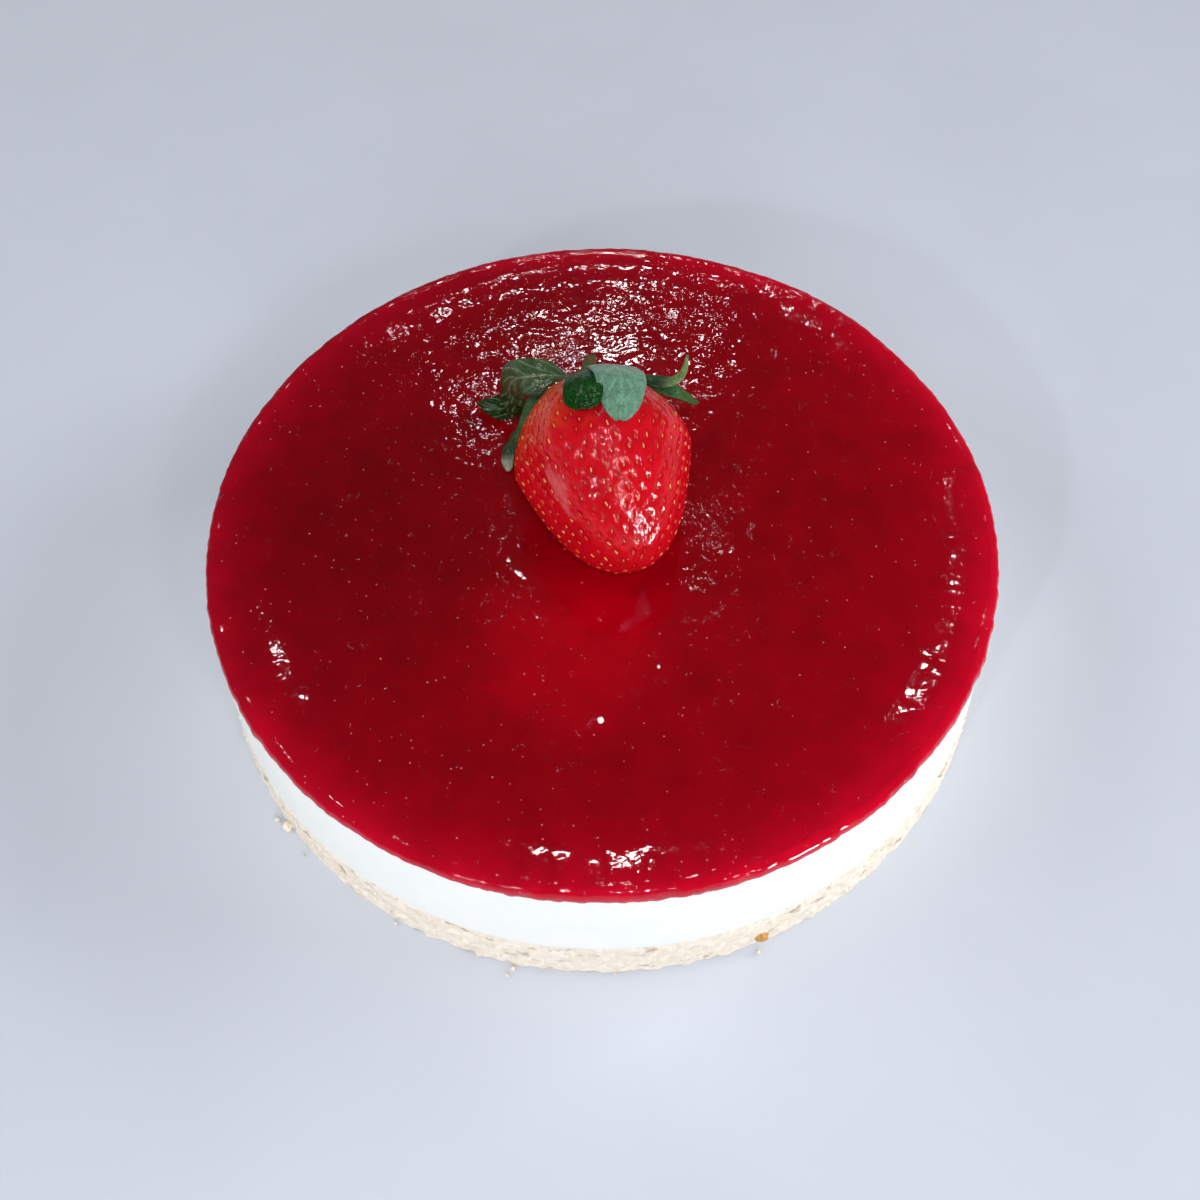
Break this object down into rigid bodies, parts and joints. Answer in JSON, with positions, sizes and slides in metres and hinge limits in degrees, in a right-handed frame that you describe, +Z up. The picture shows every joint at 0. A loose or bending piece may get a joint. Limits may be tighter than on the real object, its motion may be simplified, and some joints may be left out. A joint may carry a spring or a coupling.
{
  "type": "strawberry cheesecake",
  "caption": "Round chilled cheesecake: a biscuit crumb base, a thick white cream cheese layer, glossy red jelly with a raised rim, and a whole strawberry with its leaves on top.",
  "frame": {"origin": "middle of the biscuit base's underside, on the cake's upright axis", "axes": "+Z up; -Y is the front, the way the strawberry's tip points; +X is to the right seen from the front"},
  "size_m": [0.2093, 0.2088, 0.0874],
  "materials": {
    "biscuit_crumb": "pale beige pressed biscuit crumb, dry, rough and crumbly",
    "cream_cheese": "set white cream cheese, smooth, with a soft sheen",
    "jelly": "deep red strawberry jelly, wet gloss with fine bumps",
    "strawberry_skin": "ripe strawberry skin, wet gloss, with pale seeds in small dents",
    "strawberry_leaf": "strawberry leaves and cut stalk, dark green with a grey-green bloom and fine veins"
  },
  "bodies": {
    "root": {"biscuit_base": "biscuit_crumb", "cream_layer": "cream_cheese", "strawberry_jelly": "jelly", "strawberry_fruit": "strawberry_skin", "strawberry_calyx": "strawberry_leaf"}
  },
  "joints": []
}
